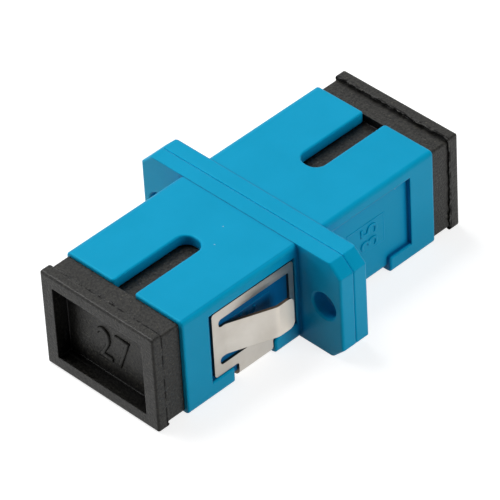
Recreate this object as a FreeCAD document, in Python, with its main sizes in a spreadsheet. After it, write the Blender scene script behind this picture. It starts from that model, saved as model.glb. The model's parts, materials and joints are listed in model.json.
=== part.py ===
"""SC fibre adapter with a two-hole flange, a retention clip and two dust caps.

Millimetres. X runs along the optical axis, Y across the flange and Z up through the keyways.
The origin is where the optical axis crosses the parting plane of the two housings.
Every sub-part of one half is drawn on the +X side. The front half is the same drawing turned
half a turn about Z, so its own +Y side ends up at -Y.
"""
import FreeCAD, Part
import math
import os
import re

import Sketcher
from FreeCAD import Placement, Rotation, Vector

# ---------------------------------------------------------------- driving sizes
SIZES = (
    # housing
    ("body_width", 12.7),
    ("body_height", 9.3),
    ("half_length", 13.75),
    ("long_edge_round", 0.4),
    ("mouth_edge_round", 0.15),
    # flange, one half of its thickness on each housing
    ("hole_spacing", 18.0),
    ("hole_size", 2.4),
    ("hole_edge", 0.12),
    ("ear_margin", 1.9),
    ("flange_thickness", 1.45),
    ("flange_proud", 0.05),
    ("flange_chamfer", 1.1),
    ("flange_round", 0.2),
    ("parting_chamfer", 0.08),
    # connector port and its keyway
    ("port_width", 9.0),
    ("port_height", 7.4),
    ("slot_width", 2.3),
    ("slot_length", 7.7),
    ("slot_corner_round", 1.0),
    ("slot_mouth_round", 0.25),
    # side recess with its two rails, and the channel that the clip's strap runs in
    ("recess_depth", 0.4),
    ("flange_land", 0.35),
    ("mouth_land", 2.67),
    ("top_land", 1.07),
    ("rail_height", 1.55),
    ("channel_start", 4.27),
    ("channel_length", 4.38),
    ("channel_depth", 0.4),
    ("channel_corner_gap", 0.05),
    ("rail_round_flange", 0.5),
    ("rail_round_mouth", 0.2),
    ("rail_foot_chamfer", 0.12),
    # seat of the latch carrier, behind the port
    ("seat_step_y", 0.6),
    ("seat_step_z", 0.3),
    ("seat_depth", 1.5),
    # latch carrier
    ("carrier_clearance", 0.05),
    ("tube_size", 4.6),
    ("tube_edge", 0.2),
    ("lip_size", 2.8),
    ("lip_length", 0.7),
    ("arm_gap", 0.25),
    ("arm_thickness", 0.7),
    ("arm_height", 3.0),
    ("arm_length", 8.3),
    ("hook_length", 1.1),
    ("hook_land", 0.35),
    ("hook_reach", 0.7),
    ("arm_root_round", 0.3),
    # split alignment sleeve
    ("sleeve_size", 3.2),
    ("sleeve_bore", 2.49),
    ("sleeve_length", 11.4),
    ("sleeve_slit", 0.5),
    ("sleeve_edge", 0.1),
    ("sleeve_clearance", 0.05),
    ("sleeve_end_play", 0.1),
    # retention clip, fitted into the recess
    ("clip_thickness", 0.25),
    ("clip_front_gap", 0.08),
    ("clip_back_gap", 0.45),
    ("clip_top_gap", 0.28),
    ("clip_rail_gap", 0.05),
    ("clip_corner_round", 0.28),
    ("clip_bend_round", 0.4),
    ("strap_front_gap", 0.1),
    ("strap_back_gap", 0.58),
    ("strap_corner_round", 0.25),
    ("window_front_land", 0.52),
    ("window_back_land", 0.66),
    ("window_side_land", 0.92),
    ("window_end_round", 0.32),
    ("window_corner_round", 0.15),
    ("tongue_side_slot", 0.76),
    ("tongue_root_land", 0.75),
    ("tongue_panel_room", 2.05),
    ("tongue_tip_length", 1.65),
    ("tongue_flare", 1.62),
    ("tongue_corner_round", 0.55),
    ("tongue_bend_round", 0.8),
    # dust caps
    ("cap_clearance", 0.1),
    ("cap_seat_gap", 0.05),
    ("cap_neck_inset", 0.3),
    ("cap_neck_length", 1.95),
    ("cap_rim_inset_y", 0.17),
    ("cap_rim_inset_z", 0.01),
    ("cap_rim_length", 0.93),
    ("cap_edge_round", 0.2),
    ("cap_recess_wall_y", 1.28),
    ("cap_recess_wall_z", 1.13),
    ("cap_recess_depth", 1.4),
    ("cap_recess_round", 0.12),
    ("cap_tube_overlap", 0.85),
    ("cap_plug_chamfer", 0.3),
    ("cap_tube_gap", 0.4),
    ("cap_hook_gap", 0.3),
    ("cap_front_offset", 0.08),
    ("cap_rear_offset", -0.08),
)
# places and lengths that follow from the sizes, kept in the sheet as formulas
WORKED_OUT = (
    ("flange_width", "hole_spacing + 2 * ear_margin"),
    ("flange_height", "body_height + 2 * flange_proud"),
    ("recess_start", "flange_thickness + flange_land"),
    ("recess_end", "half_length - mouth_land"),
    ("recess_top", "body_height / 2 - top_land"),
    ("recess_bottom", "body_height / 2 - rail_height"),
    ("channel_end", "channel_start + channel_length"),
    ("seat_width", "port_width + 2 * seat_step_y"),
    ("seat_height", "port_height + 2 * seat_step_z"),
    ("sleeve_stop", "sleeve_length / 2 + sleeve_end_play"),
    ("tube_length", "sleeve_stop + lip_length"),
    ("arm_outer", "port_width / 2 - arm_gap"),
    ("arm_inner", "arm_outer - arm_thickness"),
    ("clip_inner", "body_width / 2 - recess_depth"),
    ("clip_start", "recess_start + clip_front_gap"),
    ("clip_end", "recess_end - clip_back_gap"),
    ("clip_top", "recess_top - clip_top_gap"),
    ("clip_bottom", "recess_bottom - clip_rail_gap"),
    ("strap_start", "channel_start + strap_front_gap"),
    ("strap_end", "channel_end - strap_back_gap"),
    ("window_start", "clip_start + window_front_land"),
    ("window_end", "clip_end - window_back_land"),
    ("window_top", "clip_top - window_side_land"),
    ("window_bottom", "clip_bottom - window_side_land"),
    ("tongue_top", "window_top - tongue_side_slot"),
    ("tongue_bottom", "window_bottom - tongue_side_slot"),
    ("tongue_tip", "flange_thickness + tongue_panel_room"),
    ("tongue_bend", "tongue_tip + tongue_tip_length"),
    ("tongue_root", "window_end - tongue_root_land"),
    ("tongue_lean", "tan(atan(tongue_flare / (tongue_root - tongue_bend)) / 2)"),
    ("cap_neck_start", "half_length + cap_seat_gap"),
    ("cap_rim_start", "cap_neck_start + cap_neck_length"),
    ("cap_face", "cap_rim_start + cap_rim_length"),
    ("cap_plug_start", "tube_length - cap_tube_overlap"),
    ("cap_recess_y", "body_width / 2 - cap_rim_inset_y - cap_recess_wall_y"),
    ("cap_recess_z", "body_height / 2 - cap_rim_inset_z - cap_recess_wall_z"),
)

# longer than any piece, for cuts that run right out of one
BEYOND = "flange_width"
HALF_TURN = Rotation(Vector(0, 0, 1), 180)
TOLERANCE = 0.001

doc = FreeCAD.newDocument("ScAdapter")
sheet = doc.addObject("Spreadsheet::Sheet", "Sizes")
for row, (alias, number) in enumerate(SIZES, start=1):
    sheet.set(f"A{row}", alias.replace("_", " "))
    sheet.set(f"B{row}", str(number))
    sheet.setAlias(f"B{row}", alias)
for row, (alias, formula) in enumerate(WORKED_OUT, start=len(SIZES) + 2):
    sheet.set(f"A{row}", alias.replace("_", " "))
    sheet.set(f"B{row}", "=" + formula)
    sheet.setAlias(f"B{row}", alias)
doc.recompute()
ALIASES = {alias for alias, cell in SIZES + WORKED_OUT}


# ---------------------------------------------------------------- modelling helpers
def bind(words):
    """Point each size named in an expression at its cell in the sheet."""
    return re.sub(r"[a-z_]+", lambda m: "Sizes." + m.group() if m.group() in ALIASES else m.group(), words)


def value(words):
    return float(sheet.evalExpression(bind(words)))


def new_body(label):
    body = doc.addObject("PartDesign::Body", label)
    body.Label = label
    return body


def new_sketch(body, name, plane, shift="0"):
    """Sketch on one of the body's own origin planes, moved along the plane's normal."""
    sketch = body.newObject("Sketcher::SketchObject", name)
    support = next(item for item in body.Origin.OriginFeatures if item.Role == plane)
    sketch.AttachmentSupport = [(support, "")]
    sketch.MapMode = "FlatFace"
    sketch.setExpression("AttachmentOffset.Base.z", bind(shift))
    return sketch


def add_outline(sketch, corners):
    """Closed polygon. Each corner is a pair of expressions, kept as bound distances."""
    first = sketch.GeometryCount
    points = [Vector(value(across), value(up), 0) for across, up in corners]
    following = points[1:] + points[:1]
    for start, end in zip(points, following):
        sketch.addGeometry(Part.LineSegment(start, end), False)
    for index in range(len(points)):
        after = first + (index + 1) % len(points)
        sketch.addConstraint(Sketcher.Constraint("Coincident", first + index, 2, after, 1))
    for index, (across, up) in enumerate(corners):
        for kind, words in (("DistanceX", across), ("DistanceY", up)):
            limit = Sketcher.Constraint(kind, -1, 1, first + index, 1, value(words))
            number = sketch.addConstraint(limit)
            sketch.setExpression(f"Constraints[{number}]", bind(words))


def add_rectangle(sketch, left, right, bottom, top):
    add_outline(sketch, ((left, bottom), (right, bottom), (right, top), (left, top)))


def add_circle(sketch, across, up, size):
    centre = Vector(value(across), value(up), 0)
    index = sketch.addGeometry(Part.Circle(centre, Vector(0, 0, 1), value(size) / 2), False)
    for kind, words in (("DistanceX", across), ("DistanceY", up)):
        number = sketch.addConstraint(Sketcher.Constraint(kind, -1, 1, index, 3, value(words)))
        sketch.setExpression(f"Constraints[{number}]", bind(words))
    number = sketch.addConstraint(Sketcher.Constraint("Diameter", index, value(size)))
    sketch.setExpression(f"Constraints[{number}]", bind(size))


def pad(body, name, sketch, length, symmetric=False):
    feature = body.newObject("PartDesign::Pad", name)
    feature.Profile = (sketch, [""])
    feature.setExpression("Length", bind(length))
    if symmetric:
        feature.SideType = "Symmetric"
    doc.recompute()
    return feature


def pocket(body, name, sketch, length=None, forward=True, symmetric=False):
    """Cut along the sketch's normal, or against it. With no length it cuts right through."""
    before = body.Tip.Shape.Volume
    feature = body.newObject("PartDesign::Pocket", name)
    feature.Profile = (sketch, [""])
    feature.Reversed = forward
    if symmetric:
        feature.SideType = "Symmetric"
    if length is None:
        feature.Type = "ThroughAll"
    else:
        feature.setExpression("Length", bind(length))
    doc.recompute()
    if feature.Shape.Volume > before - TOLERANCE:
        raise RuntimeError(f"{body.Label}: {name} cuts nothing")
    return feature


def straight_edges(body, axis, test):
    """Names of the straight edges along an axis whose middle passes the test."""
    names = []
    for index, edge in enumerate(body.Tip.Shape.Edges, start=1):
        if edge.Degenerated or edge.Curve.TypeId != "Part::GeomLine":
            continue
        ends = [vertex.Point for vertex in edge.Vertexes]
        run = (ends[1] - ends[0]).normalize()
        if abs(run.dot(axis)) > 1 - TOLERANCE and test((ends[0] + ends[1]) / 2):
            names.append(f"Edge{index}")
    return names


def plane_edges(body, test):
    """Names of the edges of any kind whose two end points both pass the test."""
    names = []
    for index, edge in enumerate(body.Tip.Shape.Edges, start=1):
        if all(test(vertex.Point) for vertex in edge.Vertexes):
            names.append(f"Edge{index}")
    return names


def dress(body, kind, name, edges, size):
    """Fillet or chamfer on the chosen edges of the body's tip."""
    if not edges:
        raise RuntimeError(f"{body.Label}: no edges for {name}")
    base = body.Tip
    feature = body.newObject(f"PartDesign::{kind}", name)
    feature.Base = (base, edges)
    feature.setExpression("Radius" if kind == "Fillet" else "Size", bind(size))
    doc.recompute()
    return feature


def near(number, words):
    return abs(number - value(words)) < TOLERANCE


ALONG_X = Vector(1, 0, 0)
ALONG_Y = Vector(0, 1, 0)
ALONG_Z = Vector(0, 0, 1)
SIDES = (("Left", "-1"), ("Right", "1"))


# ---------------------------------------------------------------- housing
def cut_side_recess(body):
    """Clip recess on both sides, open downwards into the strap channel under the body."""
    for side, sign in SIDES:
        # the XZ plane's normal points to -Y
        sketch = new_sketch(body, f"{side}RecessSketch", "XZ_Plane",
                            f"-({sign}) * (body_width / 2 - recess_depth)")
        add_outline(sketch, (
            ("recess_start", "recess_top"),
            ("recess_end", "recess_top"),
            ("recess_end", "-recess_bottom"),
            ("channel_end", "-recess_bottom"),
            ("channel_end", "-body_height"),
            ("channel_start", "-body_height"),
            ("channel_start", "-recess_bottom"),
            ("recess_start", "-recess_bottom"),
        ))
        pocket(body, f"{side}Recess", sketch, forward=(sign == "-1"))
    for place, edge, size in (("Flange", "channel_start", "rail_round_flange"),
                              ("Mouth", "channel_end", "rail_round_mouth")):
        rails = straight_edges(body, ALONG_Y, lambda c: near(c.z, "-recess_bottom") and near(c.x, edge))
        dress(body, "Fillet", f"{place}RailEnds", rails, size)
    sketch = new_sketch(body, "ChannelSketch", "XY_Plane", "channel_depth - body_height / 2")
    add_rectangle(sketch, "channel_start", "channel_end", "-body_width", "body_width")
    pocket(body, "Channel", sketch, forward=False)
    corners = straight_edges(body, ALONG_X, lambda c: near(c.z, "channel_depth - body_height / 2")
                             and near(abs(c.y), "body_width / 2 - recess_depth"))
    dress(body, "Fillet", "ChannelCorners", corners, "clip_bend_round + channel_corner_gap")
    feet = straight_edges(body, ALONG_Y, lambda c: near(c.z, "-body_height / 2") and (
        near(c.x, "channel_start") or near(c.x, "channel_end")))
    dress(body, "Chamfer", "RailFeet", feet, "rail_foot_chamfer")


def cut_keyway(body):
    """Slot in the top wall, open at the end face, for the connector's key."""
    sketch = new_sketch(body, "KeywaySketch", "XY_Plane")
    add_rectangle(sketch, "half_length - slot_length", f"half_length + {BEYOND}",
                  "-slot_width / 2", "slot_width / 2")
    pocket(body, "Keyway", sketch)
    inner = straight_edges(body, ALONG_Z, lambda c: near(c.x, "half_length - slot_length"))
    dress(body, "Fillet", "KeywayEnd", inner, "slot_corner_round")
    mouth = straight_edges(body, ALONG_Z, lambda c: near(c.x, "half_length")
                           and near(abs(c.y), "slot_width / 2"))
    dress(body, "Fillet", "KeywayMouth", mouth, "slot_mouth_round")


def make_housing(label):
    body = new_body(label)
    sketch = new_sketch(body, "BarrelSketch", "YZ_Plane")
    add_rectangle(sketch, "-body_width / 2", "body_width / 2", "-body_height / 2", "body_height / 2")
    pad(body, "Barrel", sketch, "half_length")
    dress(body, "Fillet", "LongEdges", straight_edges(body, ALONG_X, lambda c: True), "long_edge_round")

    sketch = new_sketch(body, "FlangeSketch", "YZ_Plane")
    add_outline(sketch, (
        ("-flange_width / 2 + flange_chamfer", "-flange_height / 2"),
        ("flange_width / 2 - flange_chamfer", "-flange_height / 2"),
        ("flange_width / 2", "-flange_height / 2 + flange_chamfer"),
        ("flange_width / 2", "flange_height / 2 - flange_chamfer"),
        ("flange_width / 2 - flange_chamfer", "flange_height / 2"),
        ("-flange_width / 2 + flange_chamfer", "flange_height / 2"),
        ("-flange_width / 2", "flange_height / 2 - flange_chamfer"),
        ("-flange_width / 2", "-flange_height / 2 + flange_chamfer"),
    ))
    pad(body, "Flange", sketch, "flange_thickness")
    ends = plane_edges(body, lambda p: near(p.x, "flange_thickness")
                       and abs(p.y) > value("flange_width / 2 - flange_chamfer") - TOLERANCE)
    tops = straight_edges(body, ALONG_Y, lambda c: near(abs(c.z), "flange_height / 2"))
    dress(body, "Fillet", "FlangeEnds", [edge for edge in ends if edge not in tops], "flange_round")
    parting = plane_edges(body, lambda p: abs(p.x) < TOLERANCE)
    dress(body, "Chamfer", "PartingLine", parting, "parting_chamfer")

    sketch = new_sketch(body, "PortSketch", "YZ_Plane")
    add_rectangle(sketch, "-port_width / 2", "port_width / 2", "-port_height / 2", "port_height / 2")
    pocket(body, "Port", sketch)
    sketch = new_sketch(body, "SeatSketch", "YZ_Plane")
    add_rectangle(sketch, "-seat_width / 2", "seat_width / 2", "-seat_height / 2", "seat_height / 2")
    pocket(body, "Seat", sketch, "seat_depth")
    cut_keyway(body)
    cut_side_recess(body)

    rim = plane_edges(body, lambda p: near(p.x, "half_length") and (
        abs(p.y) > value("body_width / 2 - long_edge_round") - TOLERANCE
        or abs(p.z) > value("body_height / 2 - long_edge_round") - TOLERANCE))
    dress(body, "Fillet", "MouthEdges", rim, "mouth_edge_round")

    sketch = new_sketch(body, "HolesSketch", "YZ_Plane")
    for side, sign in SIDES:
        add_circle(sketch, f"{sign} * hole_spacing / 2", "0", "hole_size")
    pocket(body, "Holes", sketch)
    mouths = plane_edges(body, lambda p: near(p.x, "flange_thickness") and abs(p.z) < TOLERANCE
                         and abs(p.y) > value("body_width / 2"))
    dress(body, "Chamfer", "HoleMouths", mouths, "hole_edge")
    return body


# ---------------------------------------------------------------- latch carrier and sleeve
def make_carrier(label):
    """Seat plate, half of the sleeve tube with its retaining lip, and two hook arms."""
    body = new_body(label)
    sketch = new_sketch(body, "PlateSketch", "YZ_Plane")
    add_rectangle(sketch, "carrier_clearance - seat_width / 2", "seat_width / 2 - carrier_clearance",
                  "carrier_clearance - seat_height / 2", "seat_height / 2 - carrier_clearance")
    pad(body, "Plate", sketch, "seat_depth")
    sketch = new_sketch(body, "TubeSketch", "YZ_Plane")
    add_circle(sketch, "0", "0", "tube_size")
    pad(body, "Tube", sketch, "tube_length")

    for side, sign in SIDES:
        sketch = new_sketch(body, f"{side}ArmSketch", "XY_Plane")
        add_outline(sketch, (
            ("seat_depth / 2", f"{sign} * arm_outer"),
            ("seat_depth / 2", f"{sign} * arm_inner"),
            ("arm_length - hook_length", f"{sign} * arm_inner"),
            ("arm_length - hook_length", f"{sign} * (arm_inner - hook_reach)"),
            ("arm_length - hook_length + hook_land", f"{sign} * (arm_inner - hook_reach)"),
            ("arm_length", f"{sign} * arm_inner"),
            ("arm_length", f"{sign} * arm_outer"),
        ))
        pad(body, f"{side}Arm", sketch, "arm_height", symmetric=True)
    roots = straight_edges(body, ALONG_Z, lambda c: near(c.x, "seat_depth"))
    dress(body, "Fillet", "ArmRoots", roots, "arm_root_round")

    sketch = new_sketch(body, "SleeveBoreSketch", "YZ_Plane")
    add_circle(sketch, "0", "0", "sleeve_size + 2 * sleeve_clearance")
    pocket(body, "SleeveBore", sketch, "sleeve_stop")
    sketch = new_sketch(body, "LipSketch", "YZ_Plane")
    add_circle(sketch, "0", "0", "lip_size")
    pocket(body, "Lip", sketch)
    dress(body, "Chamfer", "TubeEnd", plane_edges(body, lambda p: near(p.x, "tube_length")), "tube_edge")
    return body


def make_sleeve(label):
    """Tube with one slit along its top, so that it grips both ferrules."""
    body = new_body(label)
    sketch = new_sketch(body, "TubeSketch", "YZ_Plane")
    add_circle(sketch, "0", "0", "sleeve_size")
    add_circle(sketch, "0", "0", "sleeve_bore")
    pad(body, "Tube", sketch, "sleeve_length", symmetric=True)
    ends = plane_edges(body, lambda p: near(abs(p.x), "sleeve_length / 2"))
    dress(body, "Chamfer", "Ends", ends, "sleeve_edge")
    sketch = new_sketch(body, "SlitSketch", "XY_Plane")
    add_rectangle(sketch, "-sleeve_length", "sleeve_length", "-sleeve_slit / 2", "sleeve_slit / 2")
    pocket(body, "Slit", sketch)
    return body


# ---------------------------------------------------------------- retention clip
def add_tongue(body, side, sign):
    """Spring tongue, cut free on three sides, bent outwards and bent straight again at its tip."""
    sketch = new_sketch(body, f"{side}TongueSketch", "XY_Plane", "-tongue_bottom")
    add_outline(sketch, (
        ("(tongue_root + window_end) / 2", f"{sign} * clip_inner"),
        ("tongue_root", f"{sign} * clip_inner"),
        ("tongue_bend", f"{sign} * (clip_inner + tongue_flare)"),
        ("tongue_tip", f"{sign} * (clip_inner + tongue_flare)"),
        ("tongue_tip", f"{sign} * (clip_inner + tongue_flare + clip_thickness)"),
        ("tongue_bend + clip_thickness * tongue_lean",
         f"{sign} * (clip_inner + tongue_flare + clip_thickness)"),
        ("tongue_root + clip_thickness * tongue_lean", f"{sign} * (clip_inner + clip_thickness)"),
        ("(tongue_root + window_end) / 2", f"{sign} * (clip_inner + clip_thickness)"),
    ))
    pad(body, f"{side}Tongue", sketch, "tongue_top + tongue_bottom")


def make_clip(label):
    """One folded strip: two windowed side panels joined by a strap under the housing."""
    body = new_body(label)
    sketch = new_sketch(body, "FoldSketch", "YZ_Plane", "clip_start")
    inner_bottom = "(body_height / 2 - channel_depth)"
    add_outline(sketch, (
        ("-clip_inner - clip_thickness", "clip_top"),
        ("-clip_inner - clip_thickness", f"-{inner_bottom} - clip_thickness"),
        ("clip_inner + clip_thickness", f"-{inner_bottom} - clip_thickness"),
        ("clip_inner + clip_thickness", "clip_top"),
        ("clip_inner", "clip_top"),
        ("clip_inner", f"-{inner_bottom}"),
        ("-clip_inner", f"-{inner_bottom}"),
        ("-clip_inner", "clip_top"),
    ))
    pad(body, "Fold", sketch, "clip_end - clip_start")
    bends = straight_edges(body, ALONG_X, lambda c: near(c.z, f"-{inner_bottom}"))
    dress(body, "Fillet", "InnerBends", bends, "clip_bend_round")
    bends = straight_edges(body, ALONG_X, lambda c: near(c.z, f"-{inner_bottom} - clip_thickness"))
    dress(body, "Fillet", "OuterBends", bends, "clip_bend_round + clip_thickness")

    sketch = new_sketch(body, "StrapSketch", "XZ_Plane")
    for low, high in (("clip_start - clip_end", "strap_start"), ("strap_end", "clip_end + clip_end")):
        add_rectangle(sketch, low, high, "-body_height", "-clip_bottom")
    pocket(body, "Strap", sketch, symmetric=True)
    sketch = new_sketch(body, "WindowSketch", "XZ_Plane")
    add_outline(sketch, (
        ("window_start", "window_top"),
        ("window_end", "window_top"),
        ("window_end", "tongue_top"),
        ("tongue_root", "tongue_top"),
        ("tongue_root", "-tongue_bottom"),
        ("window_end", "-tongue_bottom"),
        ("window_end", "-window_bottom"),
        ("window_start", "-window_bottom"),
    ))
    pocket(body, "Windows", sketch, symmetric=True)

    corners = straight_edges(body, ALONG_Y, lambda c: (
        near(c.x, "clip_start") or near(c.x, "clip_end")))
    dress(body, "Fillet", "PanelCorners", corners, "clip_corner_round")
    corners = straight_edges(body, ALONG_Y, lambda c: near(c.z, "-clip_bottom") and (
        near(c.x, "strap_start") or near(c.x, "strap_end")))
    dress(body, "Fillet", "StrapCorners", corners, "strap_corner_round")
    corners = straight_edges(body, ALONG_Y, lambda c: near(c.x, "window_end"))
    dress(body, "Fillet", "SlotEnds", corners, "window_end_round")
    corners = straight_edges(body, ALONG_Y, lambda c: near(c.x, "window_start"))
    dress(body, "Fillet", "WindowCorners", corners, "window_corner_round")

    for side, sign in SIDES:
        add_tongue(body, side, sign)
    tips = straight_edges(body, ALONG_Y, lambda c: near(c.x, "tongue_tip"))
    dress(body, "Fillet", "TongueTips", tips, "tongue_corner_round")
    hollow = (("tongue_bend", "clip_inner + tongue_flare"),
              ("tongue_root + clip_thickness * tongue_lean", "clip_inner + clip_thickness"))
    crown = (("tongue_bend + clip_thickness * tongue_lean",
              "clip_inner + tongue_flare + clip_thickness"),
             ("tongue_root", "clip_inner"))
    for name, places, size in (("TongueHollows", hollow, "tongue_bend_round"),
                               ("TongueCrowns", crown, "tongue_bend_round + clip_thickness")):
        bends = straight_edges(body, ALONG_Z, lambda c: any(
            near(c.x, x) and near(abs(c.y), y) for x, y in places))
        dress(body, "Fillet", name, bends, size)
    return body


# ---------------------------------------------------------------- dust cap
def make_cap(label):
    """Rubber plug with a neck, a rim and a shallow recess in its outer face."""
    body = new_body(label)
    sketch = new_sketch(body, "NeckSketch", "YZ_Plane", "cap_neck_start")
    add_rectangle(sketch, "cap_neck_inset - body_width / 2", "body_width / 2 - cap_neck_inset",
                  "cap_neck_inset - body_height / 2", "body_height / 2 - cap_neck_inset")
    pad(body, "Neck", sketch, "cap_neck_length")
    sketch = new_sketch(body, "RimSketch", "YZ_Plane", "cap_rim_start")
    add_rectangle(sketch, "cap_rim_inset_y - body_width / 2", "body_width / 2 - cap_rim_inset_y",
                  "cap_rim_inset_z - body_height / 2", "body_height / 2 - cap_rim_inset_z")
    pad(body, "Rim", sketch, "cap_rim_length")
    dress(body, "Fillet", "LongEdges", straight_edges(body, ALONG_X, lambda c: True), "cap_edge_round")
    front = plane_edges(body, lambda p: near(p.x, "cap_face"))
    dress(body, "Fillet", "FaceEdges", front, "cap_edge_round")

    sketch = new_sketch(body, "PlugSketch", "YZ_Plane", "cap_plug_start")
    add_rectangle(sketch, "cap_clearance - port_width / 2", "port_width / 2 - cap_clearance",
                  "cap_clearance - port_height / 2", "port_height / 2 - cap_clearance")
    pad(body, "Plug", sketch, "cap_neck_start - cap_plug_start")
    corners = straight_edges(body, ALONG_X, lambda c: c.x < value("half_length"))
    dress(body, "Chamfer", "PlugEdges", corners, "cap_plug_chamfer")
    lead = plane_edges(body, lambda p: near(p.x, "cap_plug_start"))
    dress(body, "Chamfer", "PlugLead", lead, "cap_plug_chamfer")

    sketch = new_sketch(body, "RecessSketch", "YZ_Plane", "cap_face")
    add_rectangle(sketch, "-cap_recess_y", "cap_recess_y", "-cap_recess_z", "cap_recess_z")
    pocket(body, "Recess", sketch, "cap_recess_depth", forward=False)
    corners = straight_edges(body, ALONG_X, lambda c: (
        c.x > value("cap_face - cap_recess_depth")
        and near(abs(c.y), "cap_recess_y") and near(abs(c.z), "cap_recess_z")))
    dress(body, "Fillet", "RecessCorners", corners, "cap_recess_round")

    # round hole that clears the sleeve tube, and a slot in each side that clears a hook arm
    sketch = new_sketch(body, "TubeHoleSketch", "YZ_Plane", "cap_plug_start")
    add_circle(sketch, "0", "0", "tube_size + 2 * cap_tube_gap")
    pocket(body, "TubeHole", sketch, "tube_length + cap_tube_gap - cap_plug_start")
    for side, sign in SIDES:
        sketch = new_sketch(body, f"{side}HookSlotSketch", "XY_Plane")
        add_rectangle(sketch, "0", "arm_length + cap_hook_gap",
                      f"{sign} * (arm_inner - hook_reach - cap_hook_gap)", f"{sign} * port_width")
        pocket(body, f"{side}HookSlot", sketch, "arm_height + 2 * cap_hook_gap", symmetric=True)
    return body


front_housing = make_housing("housing_front")
rear_housing = make_housing("housing_rear")
front_carrier = make_carrier("latch_carrier_front")
rear_carrier = make_carrier("latch_carrier_rear")
sleeve = make_sleeve("alignment_sleeve")
clip = make_clip("retention_clip")
front_cap = make_cap("dust_cap_front")
rear_cap = make_cap("dust_cap_rear")

for turned in (front_housing, front_carrier, clip):
    turned.Placement = Placement(Vector(0, 0, 0), HALF_TURN)
front_cap.Placement = Placement(Vector(0, value("cap_front_offset"), 0), HALF_TURN)
rear_cap.Placement = Placement(Vector(0, value("cap_rear_offset"), 0), Rotation())
doc.recompute()

# ---------------------------------------------------------------- checks and export
SUB_PARTS = (front_housing, rear_housing, front_carrier, rear_carrier, sleeve, clip, front_cap, rear_cap)
for item in doc.Objects:
    if "Invalid" in item.State or "Error" in item.State:
        raise RuntimeError(f"{item.Label} did not recompute: {item.State}")
os.makedirs("parts", exist_ok=True)
for part in SUB_PARTS:
    shape = part.Shape
    if shape.isNull() or not shape.isValid() or len(shape.Solids) != 1:
        raise RuntimeError(f"{part.Label} is not one valid solid")
    shape.exportStep(f"parts/{part.Label}.step")
    box = shape.BoundBox
    print(f"{part.Label:20s} {shape.Volume:9.2f} mm3  X {box.XMin:7.2f} {box.XMax:7.2f}"
          f"  Y {box.YMin:7.2f} {box.YMax:7.2f}  Z {box.ZMin:6.2f} {box.ZMax:6.2f}")
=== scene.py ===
"""SC fibre adapter: finishes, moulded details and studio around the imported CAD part. Metres."""
import json
import math

import bmesh
import bpy
from mathutils import Matrix, Vector


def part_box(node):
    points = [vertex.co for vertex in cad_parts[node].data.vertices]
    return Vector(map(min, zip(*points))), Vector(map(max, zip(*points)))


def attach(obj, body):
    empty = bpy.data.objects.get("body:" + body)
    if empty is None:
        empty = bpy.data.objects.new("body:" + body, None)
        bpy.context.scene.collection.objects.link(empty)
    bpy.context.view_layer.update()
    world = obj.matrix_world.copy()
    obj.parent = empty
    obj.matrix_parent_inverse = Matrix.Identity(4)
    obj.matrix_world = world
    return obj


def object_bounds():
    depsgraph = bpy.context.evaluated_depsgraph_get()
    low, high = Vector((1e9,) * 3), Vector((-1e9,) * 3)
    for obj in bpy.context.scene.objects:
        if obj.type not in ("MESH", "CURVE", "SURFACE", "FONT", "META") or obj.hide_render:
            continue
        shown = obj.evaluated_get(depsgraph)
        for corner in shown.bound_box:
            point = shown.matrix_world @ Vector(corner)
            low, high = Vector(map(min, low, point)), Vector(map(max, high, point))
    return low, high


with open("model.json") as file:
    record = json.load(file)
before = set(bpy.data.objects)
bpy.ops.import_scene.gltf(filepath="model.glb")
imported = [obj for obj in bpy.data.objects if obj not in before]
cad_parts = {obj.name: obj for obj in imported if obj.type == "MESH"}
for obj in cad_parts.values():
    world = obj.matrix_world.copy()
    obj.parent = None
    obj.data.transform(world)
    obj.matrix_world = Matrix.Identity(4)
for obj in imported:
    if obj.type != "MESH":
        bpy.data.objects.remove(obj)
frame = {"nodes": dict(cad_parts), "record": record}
cad_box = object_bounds()

MM = 0.001


# ------------------------------------------------------------------ node building
def find_input(node, name):
    """An input by its name with underscores for spaces, or by its place, as in_0."""
    if name.startswith("in_"):
        return node.inputs[int(name[3:])]
    wanted = name.replace("_", " ").lower()
    return next(socket for socket in node.inputs if socket.name.lower() == wanted)


def add_node(tree, kind, settings=(), **inputs):
    """One shader node. Settings are its own fields, inputs are values or sockets by name."""
    node = tree.nodes.new(kind)
    for field, value in dict(settings).items():
        setattr(node, field, value)
    for name, value in inputs.items():
        socket = find_input(node, name)
        if isinstance(value, bpy.types.NodeSocket):
            tree.links.new(value, socket)
        else:
            socket.default_value = value
    return node


def new_group(name, takes, gives, kind="NodeSocketFloat"):
    """Node group that takes named floats and gives named sockets, all of one kind.

    Comes with the sockets to read inside the group and the sockets to fill there.
    """
    group = bpy.data.node_groups.new(name, "ShaderNodeTree")
    for label in takes:
        group.interface.new_socket(name=label, in_out="INPUT", socket_type="NodeSocketFloat")
    for label in gives:
        group.interface.new_socket(name=label, in_out="OUTPUT", socket_type=kind)
    inside = group.nodes.new("NodeGroupInput")
    outside = group.nodes.new("NodeGroupOutput")
    return group, inside.outputs, outside.inputs


def use_group(tree, group, **inputs):
    """The outputs of one use of a group."""
    return add_node(tree, "ShaderNodeGroup", {"node_tree": group}, **inputs).outputs


def new_finish(name):
    """Material with a plain Principled shader, its node tree and the shader itself."""
    material = bpy.data.materials.new(name)
    material.use_nodes = True
    return material, material.node_tree, material.node_tree.nodes["Principled BSDF"]


def work_out(tree, operation, *values, clamp=False):
    """Result of one sum on numbers or sockets."""
    settings = {"operation": operation, "use_clamp": clamp}
    inputs = {f"in_{place}": value for place, value in enumerate(values)}
    return add_node(tree, "ShaderNodeMath", settings, **inputs).outputs[0]


def map_value(tree, value, low, high, start=0.0, end=1.0):
    """Low where the value is at start, high where it is at end, and in step between them."""
    return add_node(tree, "ShaderNodeMapRange", value=value, from_min=start, from_max=end,
                    to_min=low, to_max=high).outputs[0]


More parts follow.
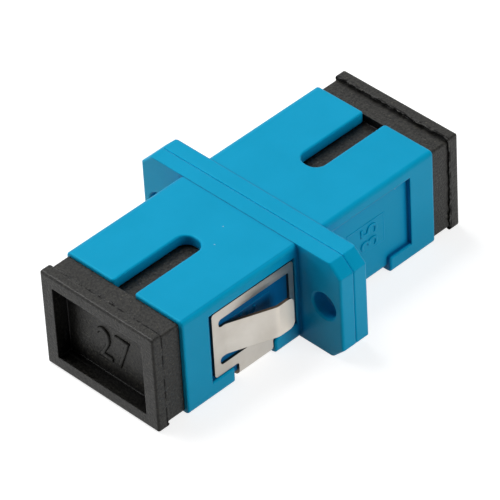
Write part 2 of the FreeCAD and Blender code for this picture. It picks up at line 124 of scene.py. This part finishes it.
def weaken(tree, mask, strength):
    """The mask at a share of its strength."""
    return map_value(tree, mask, 0.0, strength)


def mix_value(tree, factor, first, second):
    """First value where the factor is 0, second where it is 1."""
    return add_node(tree, "ShaderNodeMix", {"data_type": "FLOAT"},
                    in_0=factor, in_2=first, in_3=second).outputs[0]


def mix_colour(tree, factor, first, second):
    """First colour where the factor is 0, second where it is 1."""
    return add_node(tree, "ShaderNodeMix", {"data_type": "RGBA"},
                    in_0=factor, in_6=first, in_7=second).outputs[2]


def coordinates(tree, kind="Object"):
    """Place in the piece's own axes, or the way its surface faces for the kind Normal."""
    return add_node(tree, "ShaderNodeTexCoord").outputs[kind]


def split_axes(tree, vector):
    """X, Y and Z of a vector, by name."""
    return add_node(tree, "ShaderNodeSeparateXYZ", in_0=vector).outputs


def scaled_place(tree, scale):
    """Object coordinates times a scale: one unit is 1/scale metres."""
    return add_node(tree, "ShaderNodeVectorMath", {"operation": "SCALE"},
                    in_0=coordinates(tree), scale=scale).outputs[0]


def noise(tree, place, detail, roughness=0.5):
    """Noise with its largest features about one unit of the place across."""
    return add_node(tree, "ShaderNodeTexNoise", in_0=place, scale=1.0, detail=detail,
                    roughness=roughness).outputs[0]


def spread(tree, clouded, low=0.0, high=1.0, band=(0.3, 0.7)):
    """Noise spread over low to high. It seldom leaves its band."""
    return map_value(tree, clouded, low, high, *band)


# ------------------------------------------------------------------ shared effects
def make_mould_skin():
    """Spark-eroded mould texture: a slow mottle for colour and a fine grain for height."""
    group, takes, gives = new_group("mould_skin", ("Mottle Scale", "Grain Scale"),
                                    ("Mottle", "Grain"))
    mottle = noise(group, scaled_place(group, takes["Mottle Scale"]), detail=3.0, roughness=0.55)
    grain = noise(group, scaled_place(group, takes["Grain Scale"]), detail=2.0, roughness=0.6)
    group.links.new(mottle, gives["Mottle"])
    group.links.new(grain, gives["Grain"])
    return group


def make_flecks():
    """Mask of sparse round flecks, such as dust or pale filler.

    Size is their radius in cells of the scale, share is how many cells have one.
    """
    group, takes, gives = new_group("flecks", ("Scale", "Size", "Share"), ("Mask",))
    cells = add_node(group, "ShaderNodeTexVoronoi", in_0=scaled_place(group, takes["Scale"]),
                     scale=1.0, randomness=1.0)
    draw = add_node(group, "ShaderNodeSeparateColor", in_0=cells.outputs["Color"])
    near = work_out(group, "LESS_THAN", cells.outputs["Distance"], takes["Size"])
    chosen = work_out(group, "LESS_THAN", draw.outputs[0], takes["Share"])
    group.links.new(work_out(group, "MULTIPLY", near, chosen), gives["Mask"])
    return group


def make_edge_wear_and_highlight():
    """Mask that is 1 on the piece's edges and fades over a width, broken up by noise."""
    group, takes, gives = new_group("edge_wear_and_highlight", ("Width", "Break Scale", "Strength"), ("Mask",))
    rounded = add_node(group, "ShaderNodeBevel", {"samples": 6}, radius=takes["Width"])
    flat = add_node(group, "ShaderNodeNewGeometry")
    agreed = add_node(group, "ShaderNodeVectorMath", {"operation": "DOT_PRODUCT"},
                      in_0=rounded.outputs[0], in_1=flat.outputs["Normal"]).outputs["Value"]
    bent = map_value(group, agreed, 0.0, 1.0, start=1.0, end=0.8)
    breaks = noise(group, scaled_place(group, takes["Break Scale"]), detail=3.0)
    ragged = spread(group, breaks, 0.2, 1.0, band=(0.35, 0.65))
    worn = work_out(group, "MULTIPLY", bent, ragged)
    group.links.new(work_out(group, "MULTIPLY", worn, takes["Strength"], clamp=True),
                    gives["Mask"])
    return group


def make_soft_edges():
    """Normal that turns smoothly over every edge, as on a part with a small moulded radius."""
    group, takes, gives = new_group("soft_edges", ("Radius",), ("Normal",), "NodeSocketVector")
    rounded = add_node(group, "ShaderNodeBevel", {"samples": 8}, radius=takes["Radius"])
    group.links.new(rounded.outputs[0], gives["Normal"])
    return group


def make_crevices():
    """Mask that is 1 in the piece's own inside corners and fades over a distance."""
    group, takes, gives = new_group("crevices", ("Distance",), ("Mask",))
    openness = add_node(group, "ShaderNodeAmbientOcclusion", {"samples": 8, "only_local": True},
                        distance=takes["Distance"]).outputs["AO"]
    group.links.new(map_value(group, openness, 1.0, 0.0, start=0.50, end=0.97), gives["Mask"])
    return group


def make_line_across():
    """Mask that is 1 on a thin line across the part, at one place along X."""
    group, takes, gives = new_group("line_across", ("Place", "Width"), ("Mask",))
    along = split_axes(group, coordinates(group))["X"]
    away = work_out(group, "ABSOLUTE", work_out(group, "SUBTRACT", along, takes["Place"]))
    share = work_out(group, "DIVIDE", away, takes["Width"])
    group.links.new(map_value(group, share, 1.0, 0.0, start=0.3, end=0.6), gives["Mask"])
    return group


def make_rounded_corners():
    """Mask that is at its strength on the rounds between the flat sides of a square piece."""
    group, takes, gives = new_group("rounded_corners", ("Strength",), ("Mask",))
    facing = add_node(group, "ShaderNodeVectorMath", {"operation": "ABSOLUTE"},
                      in_0=coordinates(group, "Normal"))
    sides = split_axes(group, facing.outputs[0])
    squarest = work_out(group, "MAXIMUM", work_out(group, "MAXIMUM", sides["X"], sides["Y"]),
                        sides["Z"])
    mask = map_value(group, squarest, 0.0, takes["Strength"], start=0.98, end=0.86)
    group.links.new(mask, gives["Mask"])
    return group


def make_under_clip():
    """Mask that is 1 on the floor of the front half's side recesses, which the clip covers."""
    group, takes, gives = new_group("under_clip", ("Floor", "Margin", "Start"), ("Mask",))
    place = split_axes(group, coordinates(group))
    facing = split_axes(group, coordinates(group, "Normal"))
    level = work_out(group, "COMPARE", work_out(group, "ABSOLUTE", place["Y"]), takes["Floor"],
                     takes["Margin"])
    ahead = work_out(group, "LESS_THAN", place["X"], takes["Start"])
    sideways = work_out(group, "ABSOLUTE", facing["Y"])
    mask = work_out(group, "MULTIPLY", work_out(group, "MULTIPLY", level, ahead), sideways)
    group.links.new(mask, gives["Mask"])
    return group


MOULD_SKIN = make_mould_skin()
FLECKS = make_flecks()
EDGE_WEAR_AND_HIGHLIGHT = make_edge_wear_and_highlight()
SOFT_EDGES = make_soft_edges()
CREVICES = make_crevices()
LINE_ACROSS = make_line_across()
ROUNDED_CORNERS = make_rounded_corners()
UNDER_CLIP = make_under_clip()


# ------------------------------------------------------------------ finishes
RUB_BREAKS = 1500.0  # scale of the noise that breaks up worn edges and painted edge highlights

# Housings: a painted shade line at the flange's root on the rear half, and painted shadow on the
# floors of the front half's side recesses, which the clip covers.
FLANGE_ROOT = 1.49 * MM
ROOT_LINE = 0.12 * MM
COVERED_FLOOR = 5.98 * MM
COVERED_MARGIN = 0.1 * MM
COVERED_START = -1.6 * MM

# Clip: the height that its strap stays under, and the tongues' outer bend. The painted reflection
# on the tongue tips comes in along X across that bend, and only where a tongue stands out sideways
# from the frame.
STRAP_TOP = -4.1 * MM
TIP_BEND = -5.15 * MM
TIP_FADE = (TIP_BEND - 1.2 * MM, TIP_BEND + 0.8 * MM)
FLARE_FADE = (6.9 * MM, 7.2 * MM)

# Caps: the length of a rim, how far its back edge is from the parting plane, and the width of the
# painted shadow line there.
CAP_RIM_LENGTH = 0.93 * MM
CAP_RIM_BACK = -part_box("dust_cap_front")[0].x - CAP_RIM_LENGTH
CAP_RIM_LINE = 0.16 * MM

DUST = (0.30, 0.55, 0.68, 1.0)
BLUE = {
    "deep": (0.0, 0.342, 0.594, 1.0),
    "light": (0.0020, 0.366, 0.634, 1.0),
    "worn_and_highlight_edge": (0.0, 0.375, 0.72, 1.0),
    "painted_hollow_shade": (0.0, 0.235, 0.520, 1.0),
    "painted_deep_shade": (0.0, 0.115, 0.310, 1.0),
    "roughness": (0.34, 0.46),
    "sheen": 0.30,
    "sheen_tint": (0.05, 0.85, 1.0, 1.0),
}
IVORY = {
    "deep": (0.74, 0.74, 0.70, 1.0),
    "light": (0.82, 0.82, 0.78, 1.0),
    "worn_and_highlight_edge": (0.88, 0.88, 0.85, 1.0),
    "painted_hollow_shade": (0.72, 0.71, 0.66, 1.0),
    "painted_deep_shade": (0.42, 0.41, 0.37, 1.0),
    "roughness": (0.30, 0.42),
    "sheen": 0.5,
    "sheen_tint": (1.0, 1.0, 1.0, 1.0),
}
STEEL_DULL = (0.55, 0.51, 0.455, 1.0)
STEEL_BRIGHT = (0.65, 0.615, 0.56, 1.0)
STEEL_RUBBED = (0.42, 0.36, 0.30, 1.0)
STEEL_SHEARED = (0.13, 0.095, 0.07, 1.0)
STEEL_PAINTED_TIP_REFLECTION = (0.86, 0.78, 0.68, 1.0)
RUBBER_DEEP = (0.0, 0.0, 0.0, 1.0)
RUBBER_SKIN = (0.030, 0.0290, 0.0245, 1.0)
RUBBER_PAINTED_SHADE = (0.001, 0.001, 0.001, 1.0)
RUBBER_SPECK = (0.058, 0.054, 0.041, 1.0)
RUBBER_PAINTED_DARK_LINE = (0.0006, 0.0006, 0.0005, 1.0)
CERAMIC_DULL = (0.84, 0.83, 0.78, 1.0)
CERAMIC_BRIGHT = (0.90, 0.90, 0.86, 1.0)


def plug_surface(tree, shader, colour, roughness):
    """Give the shader its colour and its roughness."""
    tree.links.new(colour, shader.inputs["Base Color"])
    tree.links.new(roughness, shader.inputs["Roughness"])


def plug_height(tree, shader, height, depth, strength=1.0, **normal):
    """Give the shader a relief, with its depth in metres, over a normal if there is one."""
    bump = add_node(tree, "ShaderNodeBump", strength=strength, distance=depth, height=height,
                    **normal)
    tree.links.new(bump.outputs[0], shader.inputs["Normal"])


def moulded_plastic(name, edge_round, deep, light, worn_and_highlight_edge, painted_hollow_shade, painted_deep_shade, roughness, sheen,
                    sheen_tint):
    """Satin injection moulding, its edges a little lighter, partly as wear and partly as a painted
    highlight, with painted shade in its hollows, at the flange's root and under the clip.
    """
    material, tree, shader = new_finish(name)
    skin = use_group(tree, MOULD_SKIN, mottle_scale=260.0, grain_scale=11000.0)
    rub = use_group(tree, EDGE_WEAR_AND_HIGHLIGHT, width=0.22 * MM, break_scale=RUB_BREAKS, strength=0.8)["Mask"]
    hollow = use_group(tree, CREVICES, distance=3.0 * MM)["Mask"]
    corner = use_group(tree, CREVICES, distance=0.5 * MM)["Mask"]
    root = use_group(tree, LINE_ACROSS, place=FLANGE_ROOT, width=ROOT_LINE)["Mask"]
    painted_clip_shadow = use_group(tree, UNDER_CLIP, floor=COVERED_FLOOR, margin=COVERED_MARGIN,
                        start=COVERED_START)["Mask"]
    dust = use_group(tree, FLECKS, scale=520.0, size=0.030, share=0.10)["Mask"]
    # painted shade in the piece's inside corners and along the flange's root line
    painted_groove_shade = work_out(tree, "MAXIMUM", weaken(tree, corner, 0.85), weaken(tree, root, 0.45))
    colour = mix_colour(tree, spread(tree, skin["Mottle"]), deep, light)
    # edges lighter, partly wear and partly a painted highlight
    colour = mix_colour(tree, rub, colour, worn_and_highlight_edge)
    # painted shade: darker colour in the hollows that the 3 mm occlusion finds
    colour = mix_colour(tree, weaken(tree, hollow, 0.85), colour, painted_hollow_shade)
    colour = mix_colour(tree, painted_groove_shade, colour, painted_deep_shade)
    # painted shadow on the recess floors under the clip
    colour = mix_colour(tree, painted_clip_shadow, colour, painted_deep_shade)
    colour = mix_colour(tree, dust, colour, DUST)
    shader.inputs["Specular IOR Level"].default_value = sheen
    shader.inputs["Specular Tint"].default_value = sheen_tint
    plug_surface(tree, shader, colour, spread(tree, skin["Grain"], *roughness))
    plug_height(tree, shader, skin["Grain"], depth=0.004 * MM,
                normal=use_group(tree, SOFT_EDGES, radius=edge_round)["Normal"])
    return material


def spring_steel():
    """Rolled stainless strip: fine lines along the strip, faint stains, darker sheared edges, and
    a painted reflection on the tongue tips.
    """
    material, tree, shader = new_finish("spring_steel")
    stretched = add_node(tree, "ShaderNodeMapping", in_0=coordinates(tree),
                         scale=(400.0, 9000.0, 9000.0))
    lines = noise(tree, stretched.outputs[0], detail=3.0, roughness=0.7)
    skin = use_group(tree, MOULD_SKIN, mottle_scale=350.0, grain_scale=6000.0)
    rub = use_group(tree, EDGE_WEAR_AND_HIGHLIGHT, width=0.06 * MM, break_scale=RUB_BREAKS, strength=0.9)["Mask"]
    place = split_axes(tree, coordinates(tree))
    facing = split_axes(tree, coordinates(tree, "Normal"))
    # the strip was sheared on its ends and, above the strap, on the edges that face up and down
    above_strap = work_out(tree, "GREATER_THAN", place["Z"], STRAP_TOP)
    side_cut = work_out(tree, "MULTIPLY", work_out(tree, "ABSOLUTE", facing["Z"]), above_strap)
    cut = work_out(tree, "MAXIMUM", side_cut, work_out(tree, "ABSOLUTE", facing["X"]))
    # painted reflection: lighter metal on the tongue tips, where their reflection is brighter
    tip = work_out(tree, "MULTIPLY", map_value(tree, place["X"], 0.0, 1.0, *TIP_FADE),
                   map_value(tree, work_out(tree, "ABSOLUTE", place["Y"]), 0.0, 1.0, *FLARE_FADE))
    colour = mix_colour(tree, spread(tree, skin["Mottle"]), STEEL_DULL, STEEL_BRIGHT)
    colour = mix_colour(tree, rub, colour, STEEL_RUBBED)
    colour = mix_colour(tree, map_value(tree, cut, 0.0, 1.0, start=0.6, end=0.8), colour,
                        STEEL_SHEARED)
    colour = mix_colour(tree, work_out(tree, "SUBTRACT", tip, cut, clamp=True), colour,
                        STEEL_PAINTED_TIP_REFLECTION)
    shader.inputs["Metallic"].default_value = 1.0
    plug_surface(tree, shader, colour, spread(tree, lines, 0.32, 0.46))
    plug_height(tree, shader, lines, depth=0.004 * MM, strength=0.5)
    return material


def cap_rubber():
    """Carbon-filled rubber: nearly black, with a coarse skin and pale specks, painted shade in its
    recess and corners, and painted dark lines along its rounded edges and its torn mould lines.
    """
    material, tree, shader = new_finish("cap_rubber")
    skin = use_group(tree, MOULD_SKIN, mottle_scale=900.0, grain_scale=5200.0)
    corner = use_group(tree, CREVICES, distance=0.5 * MM)["Mask"]
    recess = use_group(tree, CREVICES, distance=2.4 * MM)["Mask"]
    rounds = use_group(tree, ROUNDED_CORNERS, strength=0.42)["Mask"]
    specks = work_out(tree, "MAXIMUM",
                      use_group(tree, FLECKS, scale=3000.0, size=0.22, share=0.18)["Mask"],
                      use_group(tree, FLECKS, scale=1100.0, size=0.10, share=0.16)["Mask"])
    # the specks fade where the recess is painted dark
    seen_specks = work_out(tree, "MULTIPLY", specks, map_value(tree, recess, 1.0, 0.25))
    # painted shadow under the torn flash: dark dashes along each rim's back edge
    line = work_out(tree, "MAXIMUM",
                    use_group(tree, LINE_ACROSS, place=-CAP_RIM_BACK, width=CAP_RIM_LINE)["Mask"],
                    use_group(tree, LINE_ACROSS, place=CAP_RIM_BACK, width=CAP_RIM_LINE)["Mask"])
    tears = noise(tree, scaled_place(tree, 1500.0), detail=3.0)
    torn = work_out(tree, "MULTIPLY", line, spread(tree, tears, band=(0.46, 0.54)))
    # painted shade: the rounded edges are near black and rough, so they read as dark lines
    dark = work_out(tree, "MAXIMUM", torn, rounds)
    colour = mix_colour(tree, spread(tree, skin["Grain"], band=(0.35, 0.65)), RUBBER_DEEP,
                        RUBBER_SKIN)
    # painted shade in the recess and in the inside corners
    colour = mix_colour(tree, weaken(tree, recess, 0.9), colour, RUBBER_PAINTED_SHADE)
    colour = mix_colour(tree, corner, colour, RUBBER_PAINTED_SHADE)
    colour = mix_colour(tree, seen_specks, colour, RUBBER_SPECK)
    colour = mix_colour(tree, dark, colour, RUBBER_PAINTED_DARK_LINE)
    shader.inputs["Specular IOR Level"].default_value = 0.25
    plug_surface(tree, shader, colour,
                 mix_value(tree, dark, spread(tree, skin["Mottle"], 0.28, 0.38), 0.85))
    plug_height(tree, shader, skin["Grain"], depth=0.035 * MM,
                normal=use_group(tree, SOFT_EDGES, radius=0.1 * MM)["Normal"])
    return material


def ground_ceramic():
    """White zirconia, ground round the outside."""
    material, tree, shader = new_finish("zirconia")
    skin = use_group(tree, MOULD_SKIN, mottle_scale=400.0, grain_scale=8000.0)
    plug_surface(tree, shader,
                 mix_colour(tree, spread(tree, skin["Mottle"]), CERAMIC_DULL, CERAMIC_BRIGHT),
                 spread(tree, skin["Grain"], 0.16, 0.26))
    return material


FINISHES = {
    "blue_plastic": moulded_plastic("blue_plastic", 0.2 * MM, **BLUE),
    "latch_plastic": moulded_plastic("latch_plastic", 0.2 * MM, **IVORY),
    "zirconia": ground_ceramic(),
    "spring_steel": spring_steel(),
    "cap_rubber": cap_rubber(),
}

# the same blue for small details, whose edges are sharper than the housings'
SHARP_BLUE = moulded_plastic("blue_insert_plastic", 0.06 * MM, **BLUE)

for entry in frame["record"]["subparts"]:
    for slot in frame["nodes"][entry["node"]].material_slots:
        slot.material = FINISHES[entry["material_slot"]]


# ------------------------------------------------------------------ modelling helpers
def leave_all():
    """Object mode, with nothing selected."""
    if bpy.context.object and bpy.context.object.mode != "OBJECT":
        bpy.ops.object.mode_set(mode="OBJECT")
    bpy.ops.object.select_all(action="DESELECT")


def pick(piece):
    """Object mode, with just this piece selected and active."""
    leave_all()
    piece.select_set(True)
    bpy.context.view_layer.objects.active = piece


def settle(piece, name, body, slot, finish=None):
    """Put the piece's place into its mesh, name it, give it its finish and its body."""
    pick(piece)
    bpy.ops.object.transform_apply(location=True, rotation=True, scale=True)
    piece.name = name
    piece.data.materials.clear()
    piece.data.materials.append(finish or FINISHES[slot])
    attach(piece, body)
    leave_all()


def add_block(low, high):
    """Cube primitive from one corner to the other, with its place already in its mesh."""
    leave_all()
    bpy.ops.mesh.primitive_cube_add(size=1.0, location=(low + high) / 2, scale=high - low)
    bpy.ops.object.transform_apply(location=True, rotation=True, scale=True)
    return bpy.context.object


def select_parts(piece, kind, test):
    """Edit mode with just the faces or edges that pass the test selected."""
    bpy.ops.object.mode_set(mode="EDIT")
    bpy.ops.mesh.select_mode(type=kind)
    bpy.ops.mesh.select_all(action="DESELECT")
    shape = bmesh.from_edit_mesh(piece.data)
    for part in {"FACE": shape.faces, "EDGE": shape.edges}[kind]:
        if test(part):
            part.select_set(True)
    shape.select_flush_mode()
    bmesh.update_edit_mesh(piece.data)


def runs_along(edge, axis):
    """Whether an edge runs along X, Y or Z, as 0, 1 or 2, to within about 8 degrees."""
    run = edge.verts[1].co - edge.verts[0].co
    return abs(run[axis]) > 0.99 * run.length


def faces_along(face, axis):
    """Whether a face looks along an axis, as a direction, to within about 25 degrees."""
    return face.normal.dot(axis) > 0.9


def apply_modifier(piece, kind, **settings):
    """Add one modifier with its settings and turn it into mesh."""
    pick(piece)
    bpy.ops.object.modifier_add(type=kind)
    modifier = piece.modifiers[-1]
    for field, value in settings.items():
        setattr(modifier, field, value)
    bpy.ops.object.modifier_apply(modifier=modifier.name)


# Shares of a number's relief: how far its outline is drawn in, the flat side, and the round
# that stands outside the outline. The text size is for letters one unit high.
TEXT_SIZE = 1.3
STROKE_INSET = 0.6
STROKE_FLAT = 0.2
STROKE_ROUND = 0.8


def raised_digits(name, words, place, turn, width, height, relief, body, slot, finish=None):
    """Mould cavity number with a rounded stroke, half of it sunk into the surface it stands on."""
    leave_all()
    bpy.ops.object.text_add(location=(0, 0, 0))
    text = bpy.context.object.data
    text.body = words
    text.align_x = "CENTER"
    text.size = height * TEXT_SIZE
    text.space_character = 1.1
    text.offset = -relief * STROKE_INSET
    text.extrude = relief * STROKE_FLAT
    text.bevel_depth = relief * STROKE_ROUND
    text.bevel_resolution = 3
    text.resolution_u = 6
    bpy.ops.object.convert(target="MESH")
    letters = bpy.context.object
    corners = [Vector(corner) for corner in letters.bound_box]
    low = Vector([min(corner[axis] for corner in corners) for axis in range(3)])
    high = Vector([max(corner[axis] for corner in corners) for axis in range(3)])
    stretch = Matrix.Diagonal((width / (high.x - low.x), height / (high.y - low.y), 1.0, 1.0))
    letters.matrix_world = (Matrix.Translation(place) @ turn.to_4x4() @ stretch
                            @ Matrix.Translation(-(low + high) / 2))
    settle(letters, name, body, slot, finish)


# ------------------------------------------------------------------ dust cap details
CAP_RECESS_DEPTH = 1.4 * MM
CAP_EDGE_ROUND = 0.2 * MM
CAP_NUMBER_SIZE = (3.6 * MM, 3.1 * MM)
CAP_NUMBER_RELIEF = 0.16 * MM
CAP_NUMBER_ASIDE = 0.13 * MM
CAP_NUMBER_DROP = 0.5 * MM
FACE_FRONT = Matrix(((0, 0, -1), (-1, 0, 0), (0, 1, 0)))
FACE_REAR = Matrix(((0, 0, 1), (1, 0, 0), (0, 1, 0)))
FLASH_WALL = 0.06 * MM
FLASH_REACH = 0.10 * MM
FLASH_CUTS = ((1, 90), (2, 66))  # new points in each long edge along Y and along Z
FLASH_LONG_EDGE = 2 * MM
FLASH_EDGE_MARGIN = 0.01 * MM
FLASH_REST = 0.45  # the clouds' own level that leaves the edge where it is


def cap_number(name, words, cap, outward, turn, body):
    """Mould cavity number on the floor of a cap's recess, a little low and to one side."""
    low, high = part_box(cap)
    face = low.x if outward < 0 else high.x
    place = Vector((face - outward * CAP_RECESS_DEPTH, outward * CAP_NUMBER_ASIDE,
                    -CAP_NUMBER_DROP))
    raised_digits(name, words, place, turn, *CAP_NUMBER_SIZE, CAP_NUMBER_RELIEF, body,
                  "cap_rubber")


def clouds(name, grain, depth, contrast=1.0):
    """Cloudy texture with a grain in metres and a number of finer layers."""
    texture = bpy.data.textures.new(name, "CLOUDS")
    texture.noise_scale = grain
    texture.noise_depth = depth
    texture.contrast = contrast
    return texture


def push_free_edge(ring, texture, direction, strength):
    """Push the fringe's free edge about by the texture."""
    apply_modifier(ring, "DISPLACE", texture=texture, texture_coords="LOCAL",
                   direction=direction, vertex_group="free_edge", strength=strength,
                   mid_level=FLASH_REST)


def flash_fringe(name, cap, outward, body, torn, curled):
    """Ragged skin of rubber along the back edge of a cap's rim, where its mould parted."""
    low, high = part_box(cap)
    seam = (low.x if outward < 0 else high.x) - outward * CAP_RIM_LENGTH
    free = seam - outward * FLASH_REACH
    ring = add_block(Vector((min(seam, free), low.y, low.z)),
                     Vector((max(seam, free), high.y, high.z)))
    select_parts(ring, "EDGE", lambda edge: runs_along(edge, 0))
    bpy.ops.mesh.bevel(offset=CAP_EDGE_ROUND, segments=3, affect="EDGES")
    select_parts(ring, "FACE", lambda face: (faces_along(face, Vector((1, 0, 0)))
                                             or faces_along(face, Vector((-1, 0, 0)))))
    bpy.ops.mesh.inset(thickness=FLASH_WALL)
    bpy.ops.mesh.delete(type="FACE")
    select_parts(ring, "EDGE", lambda edge: edge.is_boundary)
    bpy.ops.mesh.bridge_edge_loops()
    for axis, cuts in FLASH_CUTS:
        select_parts(ring, "EDGE", lambda edge: (runs_along(edge, axis)
                                                 and edge.calc_length() > FLASH_LONG_EDGE))
        bpy.ops.mesh.subdivide(number_cuts=cuts)
    bpy.ops.object.mode_set(mode="OBJECT")
    edge_group = ring.vertex_groups.new(name="free_edge")
    edge_group.add([point.index for point in ring.data.vertices
                    if abs(point.co.x - free) < FLASH_EDGE_MARGIN], 1.0, "REPLACE")
    push_free_edge(ring, clouds(name + "_tear", 0.45 * MM, depth=4, contrast=1.6), "X",
                   -outward * torn)
    push_free_edge(ring, clouds(name + "_curl", 0.8 * MM, depth=2), "NORMAL", curled)
    settle(ring, name, body, "cap_rubber")


cap_number("front_cap_number", "27", "dust_cap_front", -1, FACE_FRONT, "front_cap")
cap_number("rear_cap_number", "28", "dust_cap_rear", 1, FACE_REAR, "rear_cap")
flash_fringe("front_cap_flash", "dust_cap_front", -1, "front_cap", 0.50 * MM, 0.15 * MM)
flash_fringe("rear_cap_flash", "dust_cap_rear", 1, "rear_cap", 0.24 * MM, 0.02 * MM)


# ------------------------------------------------------------------ mould inserts in the recesses
RECESS_FLOOR = 5.95 * MM
INSERT_NEAR, INSERT_FAR = 4.3 * MM, 8.45 * MM
INSERT_BOTTOM, INSERT_TOP = -1.25 * MM, 1.6 * MM
INSERT_LIFT = 0.03 * MM
INSERT_BORDER = 0.07 * MM
INSERT_SLOPE = 0.03 * MM
INSERT_SINK = 0.012 * MM
INSERT_EDGE_ROUND = 0.012 * MM
INSERT_NUMBER_ALONG, INSERT_NUMBER_UP = 6.7 * MM, 0.19 * MM
INSERT_NUMBER_SIZE = (2.2 * MM, 1.9 * MM)
INSERT_NUMBER_RELIEF = 0.09 * MM


def mould_insert(name, along, side, number):
    """Slightly raised panel on a recess floor where the mould has a loose insert."""
    floor = side * RECESS_FLOOR
    top = floor + side * INSERT_LIFT
    buried = floor - side * INSERT_LIFT
    reach = sorted((along * INSERT_NEAR, along * INSERT_FAR))
    panel = add_block(Vector((reach[0], min(top, buried), INSERT_BOTTOM)),
                      Vector((reach[1], max(top, buried), INSERT_TOP)))
    select_parts(panel, "FACE", lambda face: faces_along(face, Vector((0, side, 0))))
    bpy.ops.mesh.inset(thickness=INSERT_BORDER)
    bpy.ops.mesh.inset(thickness=INSERT_SLOPE, depth=-INSERT_SINK)
    apply_modifier(panel, "BEVEL", width=INSERT_EDGE_ROUND, segments=2, limit_method="ANGLE")
    settle(panel, name, "adapter", "blue_plastic", SHARP_BLUE)
    upward = Matrix(((0, -along, 0), (0, 0, side), (-along * side, 0, 0)))
    place = Vector((along * INSERT_NUMBER_ALONG, top - side * INSERT_SINK, INSERT_NUMBER_UP))
    raised_digits(name + "_number", number, place, upward, *INSERT_NUMBER_SIZE,
                  INSERT_NUMBER_RELIEF, "adapter", "blue_plastic", SHARP_BLUE)


for half, along, side in (("front_right", -1, -1), ("front_left", -1, 1),
                          ("rear_right", 1, -1), ("rear_left", 1, 1)):
    mould_insert(half + "_insert", along, side, "35")


# ------------------------------------------------------------------ studio
WHITE = (1.0, 1.0, 1.0, 1.0)
PAPER_GREY = (0.45, 0.45, 0.45, 1.0)
FLOOR_WIDTH = 3.0
FLOOR_GAP = 0.02 * MM
FLOOR_GLOW_SEEN = 0.80
FLOOR_GLOW_MIRRORED = 0.66
TOWARDS_CARD = (0.7071, 0.7071, 0.0)


def lamp(name, place, width, power):
    """Square softbox that faces the part's middle."""
    leave_all()
    bpy.ops.object.light_add(type="AREA", location=place)
    light = bpy.context.object
    light.name = name
    light.rotation_euler = (-Vector(place)).to_track_quat("-Z", "Y").to_euler()
    light.data.shape = "SQUARE"
    light.data.size = width
    light.data.energy = power


def make_floor():
    """Pale sheet under the part, which a viewer sees as white except for the part's shadow."""
    leave_all()
    bpy.ops.mesh.primitive_plane_add(size=FLOOR_WIDTH,
                                     location=(0, 0, cad_box[0][2] - FLOOR_GAP))
    floor = bpy.context.object
    floor.name = "studio_floor"
    material, tree, shader = new_finish("studio_paper")
    shader.inputs["Base Color"].default_value = PAPER_GREY
    shader.inputs["Roughness"].default_value = 0.9
    shader.inputs["Emission Color"].default_value = WHITE
    rays = add_node(tree, "ShaderNodeLightPath").outputs
    seen = work_out(tree, "MULTIPLY", rays["Is Camera Ray"], FLOOR_GLOW_SEEN)
    mirrored = work_out(tree, "MULTIPLY", rays["Is Glossy Ray"], FLOOR_GLOW_MIRRORED)
    tree.links.new(work_out(tree, "MAXIMUM", seen, mirrored), shader.inputs["Emission Strength"])
    floor.data.materials.append(material)


def make_world(strength, mirrored_low, mirrored_high):
    """White room. Shiny surfaces see it brighter towards +X +Y, where a white card stands."""
    world = bpy.data.worlds.new("studio_room")
    bpy.context.scene.world = world
    world.use_nodes = True
    tree = world.node_tree
    background = tree.nodes["Background"]
    rays = add_node(tree, "ShaderNodeLightPath").outputs
    agreed = add_node(tree, "ShaderNodeVectorMath", {"operation": "DOT_PRODUCT"},
                      in_0=coordinates(tree, "Generated"), in_1=TOWARDS_CARD).outputs["Value"]
    card = add_node(tree, "ShaderNodeMapRange", {"interpolation_type": "SMOOTHSTEP"},
                    value=agreed, from_min=-0.2, from_max=0.8, to_min=mirrored_low,
                    to_max=mirrored_high).outputs[0]
    level = mix_value(tree, rays["Is Glossy Ray"], strength, card)
    level = mix_value(tree, rays["Is Camera Ray"], level, 1.0)
    background.inputs["Color"].default_value = WHITE
    tree.links.new(level, background.inputs["Strength"])


make_floor()
make_world(strength=0.10, mirrored_low=0.45, mirrored_high=1.1)
lamp("overhead_softbox", (-0.02, 0.20, 0.37), width=0.24, power=1.39)
lamp("left_softbox", (-0.30, 0.30, 0.10), width=0.18, power=0.50)
lamp("right_softbox", (0.10, -0.38, 0.10), width=0.18, power=0.66)

# camera: long lens, a little tilted. Angles in radians, lens in millimetres.
CAMERA_TURN = -0.749183
CAMERA_RISE = 0.700109
CAMERA_ROLL = -0.0599665
CAMERA_REACH = 0.3468
CAMERA_LENS = 320.3
CAMERA_TARGET = Vector((-0.0005136, -0.0000497, 0.0))
aim = (Matrix.Rotation(CAMERA_TURN, 3, "Z")
       @ Matrix.Rotation(math.pi / 2 - CAMERA_RISE, 3, "X")
       @ Matrix.Rotation(CAMERA_ROLL, 3, "Z"))
leave_all()
bpy.ops.object.camera_add(location=CAMERA_TARGET + aim @ Vector((0, 0, CAMERA_REACH)),
                          rotation=aim.to_euler())
camera = bpy.context.object
camera.name = "studio_camera"
camera.data.lens = CAMERA_LENS
camera.data.clip_start = 0.01
camera.data.clip_end = 10.0
bpy.context.scene.camera = camera
bpy.context.scene.view_settings.view_transform = "Standard"
